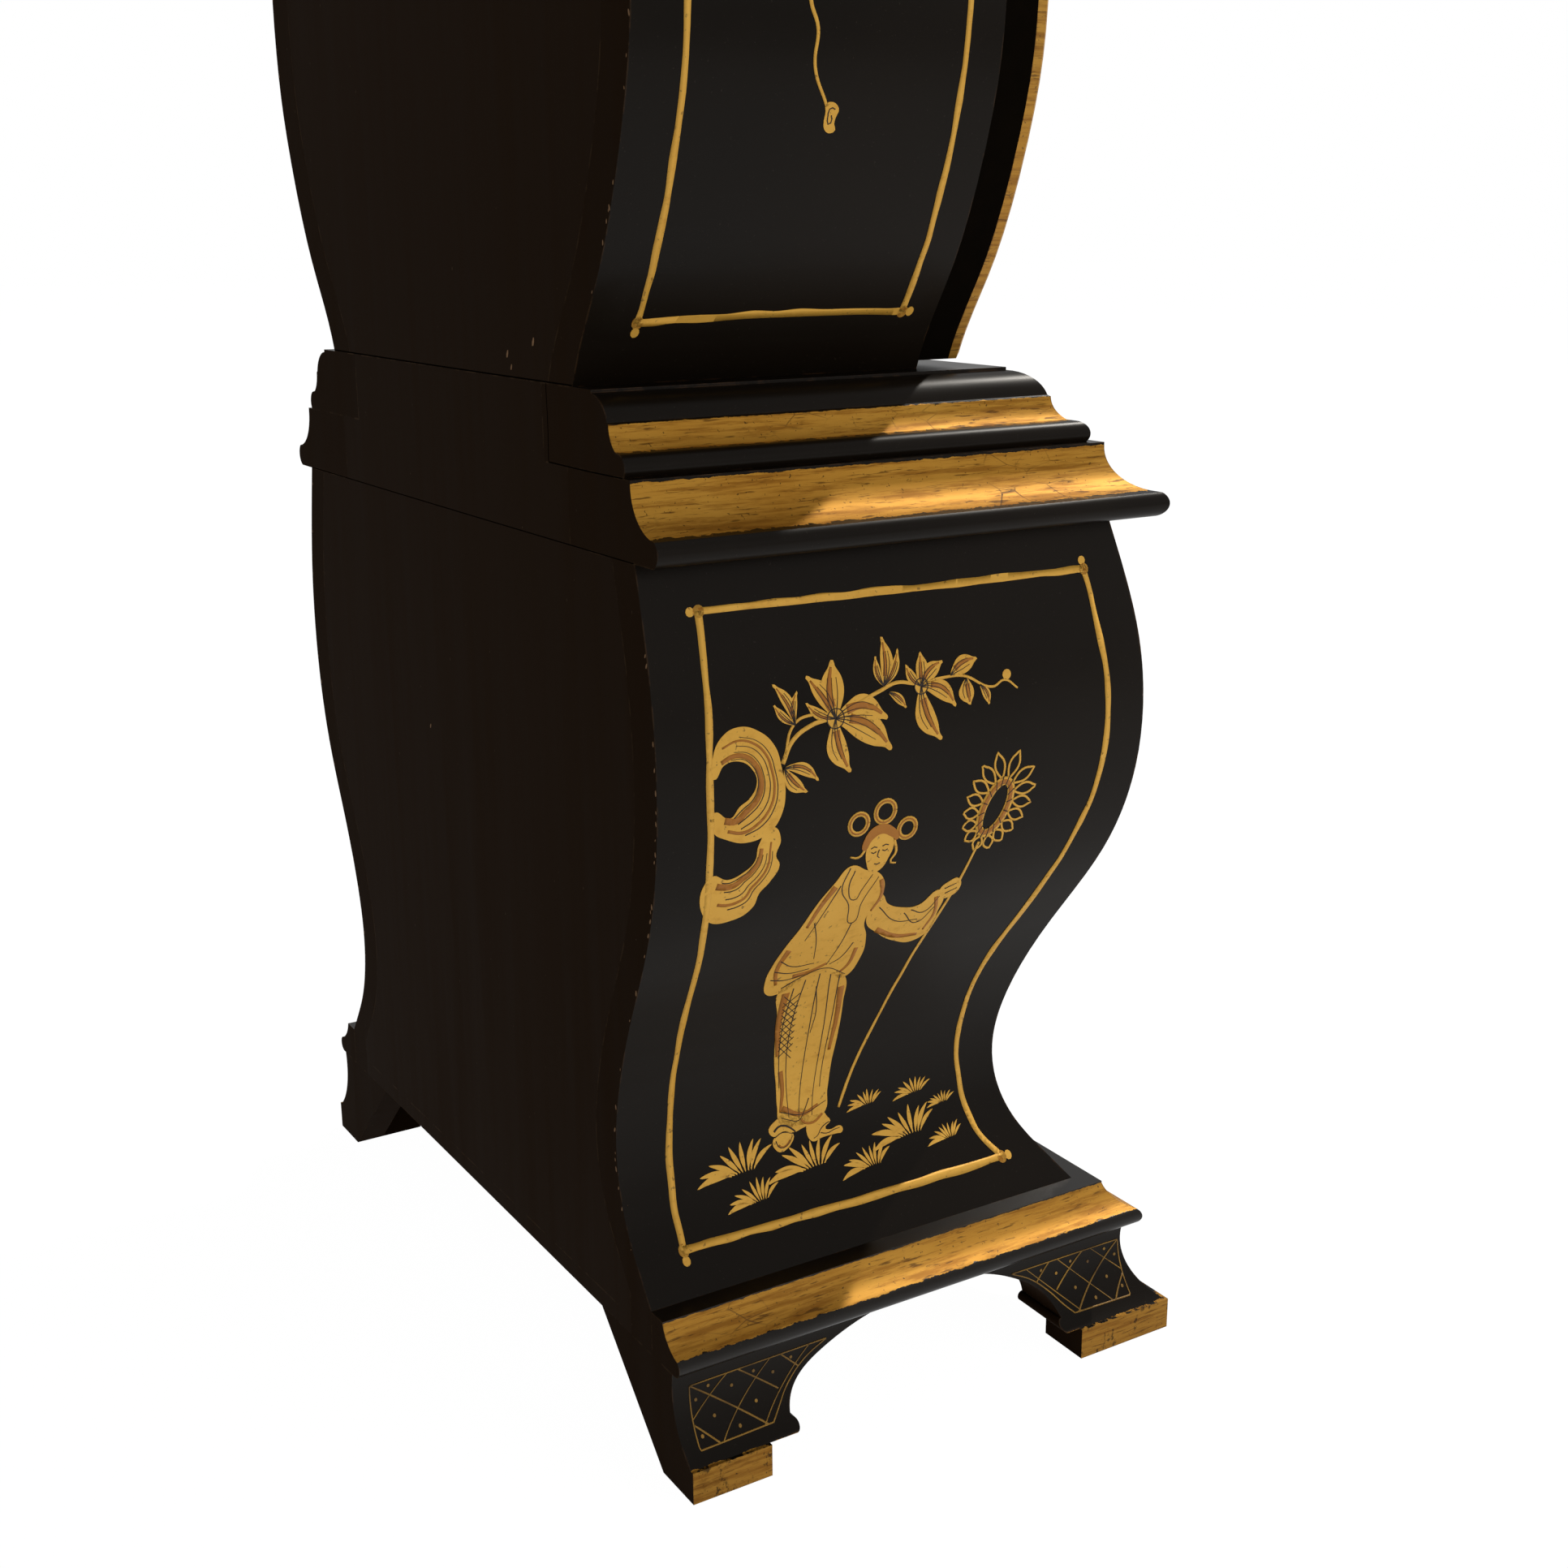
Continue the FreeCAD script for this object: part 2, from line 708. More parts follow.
def trunk_rails():
    """Two rails let in between the sides behind the door, at its foot and at its head."""
    back = trunk_side_depth - trunk_rail_thickness
    low = trunk_inside(back, trunk_side_depth, trunk_bottom_z, trunk_bottom_z + trunk_rail_height)
    high = trunk_inside(back, trunk_side_depth, trunk_top_z - trunk_rail_height, throat_top_z)
    return Part.makeCompound([low, high])


def height_at(smooth, z):
    """Where a rising curve passes a height."""
    level = Part.Plane(Vector(0, 0, z), Vector(0, 0, 1))
    return smooth.parameter(smooth.intersectCS(level)[0][0].toShape().Point)


def door_wire(shrink, depth):
    """The door's bulging outline at a depth, drawn in all round by shrink."""
    low_z = trunk_bottom_z + door_edge_gap + shrink
    high_z = trunk_top_z - door_edge_gap - shrink
    edges = []
    ends = []
    for side in (1, -1):
        smooth = Part.BSplineCurve()
        smooth.interpolate([at(side * half, depth, z) for half, z in trunk_outline(door_inset + shrink)])
        first, last = height_at(smooth, low_z), height_at(smooth, high_z)
        edges.append(smooth.toShape(first, last))
        ends.append((smooth.value(first), smooth.value(last)))
    sill = Part.LineSegment(ends[1][0], ends[0][0]).toShape()
    head = Part.LineSegment(ends[0][1], ends[1][1]).toShape()
    return Part.Wire(Part.__sortEdges__([sill, edges[0], head, edges[1]]))


def keyhole_z():
    return trunk_belly_z + escutcheon_rise


def keyhole_x():
    """The keyhole stands a set way in from the door's left edge."""
    smooth = Part.BSplineCurve()
    smooth.interpolate([at(-half, 0, z) for half, z in trunk_outline(door_inset)])
    return smooth.value(height_at(smooth, keyhole_z())).x + escutcheon_edge


def trunk_door():
    door = Part.Face(door_wire(0, door_back_depth)).extrude(Vector(0, -door_thickness, 0))
    for z in trunk_hinge_heights():
        door = door.cut(hinge_bed(trunk_hinge_x(), trunk_leaf_width, z, door_back_depth,
                                  door_back_depth + hinge_leaf_thickness))
    return door.cut(turned(keyhole_x(), keyhole_z(), key_shank_radius + running_gap,
                           door_front_depth - key_depth - sliding_gap, door_front_depth + overrun))


def trunk_door_bead():
    """The gilt bead round the front of the door, with both edges sloped back."""
    front = door_front_depth + bead_thickness
    shoulder = front - bead_slope
    inner = bead_width
    outside = Part.makeLoft([door_wire(0, door_front_depth), door_wire(0, shoulder),
                             door_wire(bead_slope, front)], True, True)
    inside = Part.makeLoft([door_wire(inner, door_front_depth), door_wire(inner, shoulder),
                            door_wire(inner - bead_slope, front)], True, True)
    return outside.cut(inside)


def escutcheon():
    """An oval plate round the keyhole."""
    x, z = keyhole_x(), keyhole_z()
    left, right = (x - escutcheon_half_width, z), (x + escutcheon_half_width, z)
    top, bottom = (x, z + escutcheon_half_height), (x, z - escutcheon_half_height)
    lens = [arc(left, top, right), arc(right, bottom, left)]
    plate = board(lens, door_front_depth, door_front_depth + escutcheon_thickness)
    return bored(plate, x, z, key_shank_radius + running_gap)


def door_key():
    """A key with a ring bow, standing in the lock."""
    x, z = keyhole_x(), keyhole_z()
    back = door_front_depth - key_depth
    front = back + key_shank_length
    outer = key_bow_radius + key_bow_wire
    bow_foot = at(x - key_bow_wire, front + key_bow_radius, z)
    bow = Part.makeCylinder(outer, 2 * key_bow_wire, bow_foot, Vector(1, 0, 0))
    bow_hole = key_bow_radius - key_bow_wire
    bow = bow.cut(Part.makeCylinder(bow_hole, 2 * key_bow_wire, bow_foot, Vector(1, 0, 0)))
    return joined([turned(x, z, key_shank_radius, back, front), bow])


# Butt hinges: the axis stands just outside the case, in the plane where door and case meet


def trunk_hinge_x():
    return trunk_belly_half_width + hinge_knuckle_radius + hinge_stand_off


def trunk_hinge_heights():
    return [trunk_belly_z - trunk_hinge_spread, trunk_belly_z + trunk_hinge_spread]


def hood_hinge_x():
    return hood_half_width + hinge_knuckle_radius + hinge_stand_off


def hood_hinge_heights():
    return [centre_z - hood_hinge_spread, centre_z + hood_hinge_spread]


def hinge_bed(axis_x, width, z, depth_from, depth_to):
    """The bed for one leaf, between two depths."""
    half = hinge_length / 2 + sliding_gap
    return block(axis_x - width - sliding_gap, axis_x + overrun, depth_from, depth_to, z - half, z + half)


def knuckle(axis_x, axis_depth, radius, z_from, z_to):
    return upright(axis_x, axis_depth, radius, z_from, z_to)


def hinge_fixed(axis_x, width, joint_depth, z):
    """The case's leaf with its two outer knuckles and the pin."""
    half = hinge_length / 2
    sixth = hinge_length / 6
    axis_depth = joint_depth + door_gap / 2
    leaf = block(axis_x - width, axis_x, joint_depth - hinge_leaf_thickness, joint_depth, z - half, z + half)
    room = knuckle(axis_x, axis_depth, hinge_knuckle_radius + sliding_gap, z - sixth - sliding_gap,
                   z + sixth + sliding_gap)
    return joined([leaf.cut(room),
                   knuckle(axis_x, axis_depth, hinge_knuckle_radius, z - half, z - sixth - sliding_gap),
                   knuckle(axis_x, axis_depth, hinge_knuckle_radius, z + sixth + sliding_gap, z + half),
                   knuckle(axis_x, axis_depth, hinge_pin_radius, z - half, z + half)])


def hinge_moving(axis_x, width, joint_depth, z):
    """The door's leaf with its middle knuckle."""
    half = hinge_length / 2
    sixth = hinge_length / 6
    axis_depth = joint_depth + door_gap / 2
    back = joint_depth + door_gap
    leaf = block(axis_x - width, axis_x, back, back + hinge_leaf_thickness, z - half, z + half)
    for z_from, z_to in ((z - half, z - sixth), (z + sixth, z + half)):
        leaf = leaf.cut(knuckle(axis_x, axis_depth, hinge_knuckle_radius + sliding_gap, z_from, z_to))
    whole = joined([leaf, knuckle(axis_x, axis_depth, hinge_knuckle_radius, z - sixth, z + sixth)])
    return whole.cut(knuckle(axis_x, axis_depth, hinge_pin_radius + running_gap, z - half, z + half))


# Throat and hood


def throat_section(inner):
    """A hollow that spreads from the neck to a square lip under the hood."""
    foot = trunk_neck_half_width + throat_foot_projection
    lip = hood_half_width + throat_overhang
    lip_z = throat_top_z - throat_lip
    hollow_top = lip - throat_step
    out_share, up_share = throat_hollow_shares
    hollow = (foot + out_share * (hollow_top - foot), trunk_top_z + up_share * (lip_z - trunk_top_z))
    back = [(hollow_top, lip_z), (lip, lip_z), (lip, throat_top_z), (inner, throat_top_z),
            (inner, trunk_top_z), (foot, trunk_top_z)]
    return [arc((foot, trunk_top_z), hollow, (hollow_top, lip_z))] + chain(back)


def hood_left():
    return block(-hood_half_width, -hood_inner_half_width, 0, hood_frame_depth, hood_bottom_z, hood_top_z)


def hood_right():
    """The hood's right side, with beds for the hinge leaves in its front edge."""
    side = on_other_side(hood_left())
    for z in hood_hinge_heights():
        side = side.cut(hinge_bed(hood_hinge_x(), hood_leaf_width, z, hood_frame_depth - hinge_leaf_thickness,
                                  hood_frame_depth))
    return side


def hood_mask():
    """The fixed frame behind the glazed door, which masks the edge of the dial."""
    frame = slab(hood_inner_half_width, hood_mask_depth, hood_frame_depth, hood_bottom_z, hood_top_z)
    return frame.cut(square_board(hood_opening_half_width, hood_mask_depth, hood_frame_depth))


def hood_door():
    """The glazed door's frame, with a rebate for the glass and beds for its hinge leaves."""
    frame = slab(hood_half_width, hood_door_depth, hood_front_depth, hood_bottom_z + hood_door_margin,
                 hood_top_z - hood_door_margin)
    frame = frame.cut(square_board(hood_opening_half_width, hood_door_depth, hood_front_depth))
    rebate = hood_opening_half_width + glass_rebate + sliding_gap
    frame = frame.cut(square_board(rebate, hood_door_depth, glass_front_depth))
    for z in hood_hinge_heights():
        frame = frame.cut(hinge_bed(hood_hinge_x(), hood_leaf_width, z, hood_door_depth,
                                    hood_door_depth + hinge_leaf_thickness))
    return frame


def hood_glass():
    return square_board(hood_opening_half_width + glass_rebate, glass_front_depth - glass_thickness,
                        glass_front_depth)


def hood_top_board():
    """The board across the hood's sides and mask, inside the cornice."""
    inner = cornice_inner_half_width
    return slab(inner, 0, inner + hood_plan_offset - hood_front_depth + hood_frame_depth,
                hood_top_z, hood_top_z + hood_top_thickness)


def cornice_section(inner):
    """A stepped cornice: a hollow under a square lip."""
    foot, step_out, hollow_foot, hollow, hollow_top, lip_foot, lip = [
        (hood_half_width + a * cornice_projection, hood_top_z + b * cornice_height) for a, b in cornice_shares]
    back = [hollow_top, lip_foot, lip, (lip[0], cornice_top_z), (inner, cornice_top_z), (inner, hood_top_z),
            foot, step_out, hollow_foot]
    return [arc(hollow_foot, hollow, hollow_top)] + chain(back)


def bell_top():
    """A hollow-sided top, flat at the back, that closes the hood."""
    foot = hood_half_width + cornice_projection - bell_setback
    shrink = foot - bell_top_half_width
    rim, rise, waist, neck, cap, top = [
        (foot - a * shrink, cornice_top_z + b * bell_height) for a, b in bell_shares]
    right = [line(rim, rise), arc(rise, waist, neck)] + chain([neck, cap, top])
    left_rim, left_rise, left_waist, left_neck, left_cap, left_top = mirrored(
        [rim, rise, waist, neck, cap, top])
    left = chain([top, left_top, left_cap, left_neck])
    left += [arc(left_neck, left_waist, left_rise)] + chain([left_rise, left_rim, rim])
    deep = [(kind,) + tuple((a + hood_plan_offset, z) for a, z in points) for kind, *points in right]
    deep += chain([(top[0] + hood_plan_offset, top[1]), (0, top[1]), (0, rim[1]),
                   (rim[0] + hood_plan_offset, rim[1])])
    far = toe_half_width + overrun
    lengthways = face_of(deep, sideways(-far)).extrude(Vector(2 * far, 0, 0))
    return board(right + left, 0, case_depth).common(lengthways).Solids[0]


def finial():
    """A turned ball and spire in the middle of the bell top."""
    middle = (bell_top_half_width + hood_plan_offset) / 2
    axis = Vector(0, 0, 1)
    ball = Part.makeSphere(finial_ball_radius, at(0, middle, bell_top_z + finial_ball_share * finial_height))
    turnings = [ball]
    for shares in (finial_neck_shares, finial_spire_shares):
        outline = [(share * finial_ball_radius, bell_top_z + rise * finial_height) for rise, share in shares]
        strokes = chain([(0, outline[0][1])] + outline + [(0, outline[-1][1]), (0, outline[0][1])])
        turnings.append(face_of(strokes, across(middle)).revolve(at(0, middle, 0), axis, 360))
    return joined(turnings)


# Wheels: every wheel turns about an axis that lies from back to front


def toothed(teeth, module, shares, phase, x, z, depth_from, depth_to):
    """A toothed disc whose first tooth points along the phase angle, counted from +X towards +Z."""
    addendum, dedendum, root_share, tip_share = shares
    pitch_radius = teeth * module / 2
    root, tip = pitch_radius - dedendum * module, pitch_radius + addendum * module
    points = []
    for k in range(teeth):
        for radius, share in ((root, -root_share), (tip, -tip_share), (tip, tip_share), (root, root_share)):
            angle = phase + (k + share / 2) * 2 * math.pi / teeth
            points.append((x + radius * math.cos(angle), z + radius * math.sin(angle)))
    return board(polygon(points), depth_from, depth_to)


def crossed_out(disc, x, z, hub_radius, rim_radius, depth_from, depth_to):
    """Cuts the open sectors between the spokes of a wheel."""
    opening = turned(x, z, rim_radius, depth_from, depth_to)
    opening = opening.cut(turned(x, z, hub_radius, depth_from, depth_to))
    for k in range(wheel_spokes):
        spoke = block(x, x + rim_radius, depth_from, depth_to, z - spoke_half_width, z + spoke_half_width)
        opening = opening.cut(spoke.rotate(at(x, depth_from, z), Vector(0, 1, 0), 360 * k / wheel_spokes))
    return disc.cut(opening)


def wheel(teeth, module, phase, x, z, depth_from, hub_radius):
    """A thin crossed-out wheel."""
    depth_to = depth_from + wheel_thickness
    disc = toothed(teeth, module, wheel_tooth_shares, phase, x, z, depth_from, depth_to)
    rim_radius = wheel_rim_share * teeth * module / 2
    return crossed_out(disc, x, z, hub_radius, rim_radius, depth_from, depth_to)


def pinion(teeth, module, phase, x, z, depth_from):
    """A pinion a little longer than the wheel that it meshes with."""
    return toothed(teeth, module, pinion_tooth_shares, phase, x, z, depth_from - pinion_overhang,
                   depth_from + wheel_thickness + pinion_overhang)


def angle_to(x_from, z_from, x_to, z_to):
    return math.atan2(z_to - z_from, x_to - x_from)


def gap_towards(teeth, angle):
    """The phase that turns a gap between two teeth to an angle."""
    return angle + math.pi / teeth


def arbor(x, z):
    """A steel arbor with thinner pivots that run in the two plates."""
    back, front = back_plate_face + sliding_gap, front_plate_depth - sliding_gap
    return joined([turned(x, z, pivot_radius, back_plate_depth, front_plate_face),
                   turned(x, z, fine_arbor_radius, back, front)])


def great_wheel():
    disc = wheel(great_teeth, great_module, math.pi / 2, 0, barrel_z, great_wheel_depth, great_hub_radius)
    return bored(disc, 0, barrel_z, winding_arbor_radius + running_gap)


def winding_barrel():
    """The drum that the line winds on, with its arbor and the square for the winding key."""
    front = barrel_depth + barrel_length
    flange_radius = drum_radius + barrel_flange
    half = winding_square / 2
    square_front = dial_face_depth + ring_thickness
    return joined([turned(0, barrel_z, drum_radius, barrel_depth, front),
                   turned(0, barrel_z, flange_radius, barrel_depth, barrel_depth + barrel_flange_thickness),
                   turned(0, barrel_z, flange_radius, front - barrel_flange_thickness, front),
                   turned(0, barrel_z, pivot_radius, back_plate_depth, barrel_depth),
                   turned(0, barrel_z, winding_arbor_radius, front, motion_wheel_depth),
                   slab(half, motion_wheel_depth, square_front, barrel_z - half, barrel_z + half)])


def centre_wheel():
    """The wheel that turns once an hour, on the arbor that carries the minute hand."""
    third_angle = math.radians(third_angle_deg)
    pinion_phase = gap_towards(centre_pinion_teeth, -math.pi / 2)
    tip_depth = minute_hand_depth + hand_thickness + hand_tip_clearance
    disc = wheel(centre_teeth, centre_module, third_angle, 0, centre_z, centre_wheel_depth, wheel_hub_radius)
    return joined([disc,
                   pinion(centre_pinion_teeth, great_module, pinion_phase, 0, centre_z, great_wheel_depth),
                   turned(0, centre_z, arbor_radius, back_plate_face + sliding_gap, tip_depth),
                   turned(0, centre_z, pivot_radius, back_plate_depth, front_plate_depth)])


def third_wheel():
    escape_angle = angle_to(third_x, third_z, 0, escape_z)
    phase = gap_towards(third_pinion_teeth, angle_to(third_x, third_z, 0, centre_z))
    return joined([wheel(third_teeth, third_module, escape_angle, third_x, third_z, third_wheel_depth,
                         wheel_hub_radius),
                   pinion(third_pinion_teeth, centre_module, phase, third_x, third_z, centre_wheel_depth),
                   arbor(third_x, third_z)])


def escape_wheel():
    """Pointed teeth that lean forward, on the fastest arbor of the train."""
    root = escape_radius - escape_tooth_height
    rise_share, tip_share, fall_share = escape_tooth_shares
    points = []
    for k in range(escape_teeth):
        for radius, share in ((root, 0), (escape_radius, rise_share), (escape_radius, tip_share),
                              (root, fall_share)):
            angle = (k + share) * 2 * math.pi / escape_teeth
            points.append((radius * math.cos(angle), escape_z + radius * math.sin(angle)))
    front = escape_wheel_depth + wheel_thickness
    disc = crossed_out(board(polygon(points), escape_wheel_depth, front), 0, escape_z, wheel_hub_radius,
                       wheel_rim_share * root, escape_wheel_depth, front)
    phase = gap_towards(escape_pinion_teeth, angle_to(0, escape_z, third_x, third_z))
    return joined([disc, arbor(0, escape_z),
                   pinion(escape_pinion_teeth, third_module, phase, 0, escape_z, third_wheel_depth)])


def anchor():
    """The anchor that rocks over the escape wheel, with its arbor and the crutch behind the back plate."""
    inner = escape_radius + anchor_clearance
    outer = inner + anchor_width
    half = math.radians(anchor_half_span_deg)
    bow = {(radius, turn): (radius * math.sin(turn * half), escape_z + radius * math.cos(turn * half))
           for radius in (inner, outer) for turn in (-1, 0, 1)}
    strokes = [arc(bow[inner, -1], bow[inner, 0], bow[inner, 1]), line(bow[inner, 1], bow[outer, 1]),
               arc(bow[outer, 1], bow[outer, 0], bow[outer, -1]), line(bow[outer, -1], bow[inner, -1])]
    front = escape_wheel_depth + wheel_thickness
    stem = anchor_hub_radius / 2
    arm_front = crutch_depth + crutch_thickness
    fork_top = pivot_z - crutch_length
    fork_bottom = fork_top - crutch_foot_height
    fork_back, fork_front = pendulum_depth - crutch_fork_reach, pendulum_depth + crutch_fork_reach
    tine_inner = rod_radius + crutch_fork_gap
    tine_outer = tine_inner + crutch_fork_width
    tine = block(tine_inner, tine_outer, fork_back, fork_front, fork_bottom, fork_top)
    return joined([board(strokes, escape_wheel_depth, front),
                   slab(stem, escape_wheel_depth, front, escape_z + (inner + outer) / 2, pivot_z),
                   turned(0, pivot_z, anchor_hub_radius, escape_wheel_depth, front),
                   turned(0, pivot_z, pivot_radius, cock_depth, front_plate_face),
                   turned(0, pivot_z, arbor_radius, crutch_depth, front_plate_depth - sliding_gap),
                   turned(0, pivot_z, anchor_hub_radius, crutch_depth, arm_front),
                   slab(crutch_half_width, crutch_depth, arm_front, fork_bottom, pivot_z),
                   slab(crutch_half_width, fork_front, arm_front, fork_bottom, fork_top),
                   slab(tine_outer, fork_front, fork_front + crutch_thickness, fork_bottom, fork_top),
                   tine, on_other_side(tine)])


# Movement frame


def plate(depth):
    return slab(plate_half_width, depth, depth + plate_thickness, seat_top_z, plate_top_z)


def back_plate():
    shape = plate(back_plate_depth)
    for x, z in ((0, barrel_z), (0, centre_z), (third_x, third_z), (0, escape_z)):
        shape = bored(shape, x, z, pivot_radius + running_gap)
    return bored(shape, 0, pivot_z, arbor_radius + dial_hole_clearance)


def front_plate():
    """The front plate, with the stud that the minute wheel runs on."""
    shape = plate(front_plate_depth)
    for x, z in ((third_x, third_z), (0, escape_z), (0, pivot_z)):
        shape = bored(shape, x, z, pivot_radius + running_gap)
    shape = bored(shape, 0, centre_z, arbor_radius + running_gap)
    shape = bored(shape, 0, barrel_z, winding_arbor_radius + running_gap)
    stud_front = hour_wheel_depth + wheel_thickness + 2 * pinion_overhang
    return joined([shape, turned(minute_x, minute_z, stud_radius, front_plate_depth, stud_front)])


def plate_pillars():
    """Four pillars that hold the plates apart."""
    x = plate_half_width - pillar_inset
    heights = (seat_top_z + pillar_inset, plate_top_z - pillar_inset)
    return Part.makeCompound([turned(side * x, z, pillar_radius, back_plate_face, front_plate_depth)
                              for side in (-1, 1) for z in heights])


def pendulum_cock():
    """A bridge behind the back plate that carries the anchor's rear pivot and the suspension."""
    low, high = pivot_z - cock_drop, pivot_z + cock_rise
    bridge = slab(cock_half_width, cock_depth, cock_depth + cock_thickness, low, high)
    bridge = bored(bridge, 0, pivot_z, pivot_radius + running_gap)
    leg = block(cock_half_width - cock_leg, cock_half_width, cock_depth + cock_thickness, back_plate_depth,
                low, high)
    arm = slab(cock_arm_half_width, cock_depth - cock_arm_length, cock_depth, pivot_z, high)
    half_thickness = spring_thickness / 2 + spring_play
    half_width = spring_width / 2 + spring_play
    slot = slab(half_thickness, pendulum_depth - half_width, pendulum_depth + half_width,
                pivot_z - overrun, high + overrun)
    return joined([bridge, leg, on_other_side(leg), arm.cut(slot)])


# Pendulum


def suspension_spring():
    """A flat spring that hangs in the cock's slot from a small block."""
    top = pivot_z + cock_rise + sliding_gap
    back, front = pendulum_depth - spring_width / 2, pendulum_depth + spring_width / 2
    return joined([slab(spring_thickness / 2, back, front, pivot_z - spring_length, top),
                   slab(spring_block / 2, back, front, top, top + spring_block)])


def pendulum_rod():
    """The rod, with a flat clamp at the foot of the spring and a tail for the rating nut."""
    clamp_top = pivot_z - spring_length
    clamp = slab(spring_block / 2, pendulum_depth - spring_width / 2, pendulum_depth + spring_width / 2,
                 clamp_top - spring_block, clamp_top)
    tail = bob_z - bob_radius - nut_height - rod_tail
    return joined([upright(0, pendulum_depth, rod_radius, tail, clamp_top - spring_block), clamp])


def pendulum_bob():
    """A lens-shaped bob turned from brass, bored from edge to edge for the rod."""
    rise = (bob_thickness - bob_rim) / 2
    ball_radius = (bob_radius ** 2 + rise ** 2) / (2 * rise)
    back_centre = pendulum_depth - bob_thickness / 2 + ball_radius
    front_centre = pendulum_depth + bob_thickness / 2 - ball_radius
    lens = turned(0, bob_z, bob_radius, pendulum_depth - bob_thickness, pendulum_depth + bob_thickness)
    lens = lens.common(Part.makeSphere(ball_radius, at(0, back_centre, bob_z)))
    lens = lens.common(Part.makeSphere(ball_radius, at(0, front_centre, bob_z)))
    bore = upright(0, pendulum_depth, rod_radius, bob_z - bob_radius - overrun, bob_z + bob_radius + overrun)
    return lens.cut(bore)


def rating_nut():
    top = bob_z - bob_radius - sliding_gap
    nut = upright(0, pendulum_depth, nut_radius, top - nut_height, top)
    return nut.cut(upright(0, pendulum_depth, rod_radius + running_gap, top - nut_height, top))


# Motion work, dial and hands


def dial_plate():
    """A square plate on four feet that stand on the front plate."""
    foot = dial_foot_share * plate_half_width
    feet = [turned(side * foot, centre_z + end * foot, dial_foot_radius, front_plate_face, dial_depth)
            for side in (-1, 1) for end in (-1, 1)]
    face = joined([square_board(dial_half_width, dial_depth, dial_face_depth)] + feet)
    face = bored(face, 0, centre_z, hour_pipe_radius + dial_hole_clearance)
    return bored(face, 0, barrel_z, winding_square / math.sqrt(2) + dial_hole_clearance)


def chapter_ring():
    ring = turned(0, centre_z, ring_outer_radius, dial_face_depth, dial_face_depth + ring_thickness)
    return bored(ring, 0, centre_z, ring_inner_radius)


def cannon_pinion():
    """The minute pipe, which grips the centre arbor, with its wheel."""
    phase = gap_towards(cannon_teeth, math.radians(minute_stud_angle_deg))
    disc = toothed(cannon_teeth, cannon_module, pinion_tooth_shares, phase, 0, centre_z,
                   motion_wheel_depth, motion_wheel_depth + wheel_thickness)
    pipe = joined([disc, turned(0, centre_z, cannon_pipe_radius, motion_wheel_depth, minute_hand_depth)])
    return bored(pipe, 0, centre_z, arbor_radius)


def minute_wheel():
    """The wheel and pinion that step the minute pipe down to the hour wheel."""
    centre_angle = math.radians(minute_stud_angle_deg) + math.pi
    front = motion_wheel_depth + wheel_thickness
    disc = toothed(minute_teeth, cannon_module, wheel_tooth_shares, centre_angle,
                   minute_x, minute_z, motion_wheel_depth, front)
    small = toothed(minute_pinion_teeth, hour_module, pinion_tooth_shares,
                    gap_towards(minute_pinion_teeth, centre_angle), minute_x, minute_z, front,
                    hour_wheel_depth + wheel_thickness + pinion_overhang)
    return bored(joined([disc, small]), minute_x, minute_z, stud_radius + running_gap)


def hour_wheel():
    """The hour wheel and its pipe, which turns on the minute pipe."""
    disc = wheel(hour_teeth, hour_module, math.radians(minute_stud_angle_deg), 0, centre_z, hour_wheel_depth,
                 hour_hub_radius)
    front = hour_hand_depth + hand_thickness
    pipe = joined([disc, turned(0, centre_z, hour_pipe_radius, hour_wheel_depth, front)])
    return bored(pipe, 0, centre_z, cannon_pipe_radius + running_gap)


def hand(length, angle_deg, pipe_radius, depth_from):
    """A hand with a round boss, a slim blade and a pointed leaf."""
    right = [(share * length, centre_z + rise * length) for rise, share in hand_shares]
    blade = board(polygon(right + backwards(mirrored(right[:-1]))), depth_from, depth_from + hand_thickness)
    boss = turned(0, centre_z, hand_hub_radius, depth_from, depth_from + hand_thickness)
    whole = bored(joined([blade, boss]), 0, centre_z, pipe_radius)
    return whole.rotate(at(0, depth_from, centre_z), Vector(0, 1, 0), angle_deg)


# Seat board, weight and line


def seat_board():
    """The board across the tops of the case sides, pierced for the two strands of the line."""
    seat = slab(trunk_neck_half_width, seat_back_depth, seat_front_depth, seat_bottom_z, seat_top_z)
    seat = seat.cut(upright(-pulley_radius, pulley_depth, line_hole_radius, seat_bottom_z, seat_top_z))
    return seat.cut(upright(pulley_radius, pulley_depth, line_radius + line_seat, seat_bottom_z, seat_top_z))


def weight_pulley():
    """A grooved pulley on the weight."""
    half = pulley_thickness / 2
    rim_z = pulley_z + pulley_radius + pulley_rim
    groove_z = pulley_z + drum_radius
    outline = [(pulley_depth - pulley_groove, rim_z), (pulley_depth - half, rim_z),
               (pulley_depth - half, pulley_z), (pulley_depth + half, pulley_z),
               (pulley_depth + half, rim_z), (pulley_depth + pulley_groove, rim_z)]
    floor = [(pulley_depth + groove_floor, groove_z), (pulley_depth - groove_floor, groove_z)]
    strokes = chain(outline + floor + [outline[0]])
    disc = face_of(strokes, sideways(0)).revolve(at(0, pulley_depth, pulley_z), Vector(0, 1, 0), 360)
    return bored(disc, 0, pulley_z, pivot_radius + running_gap)


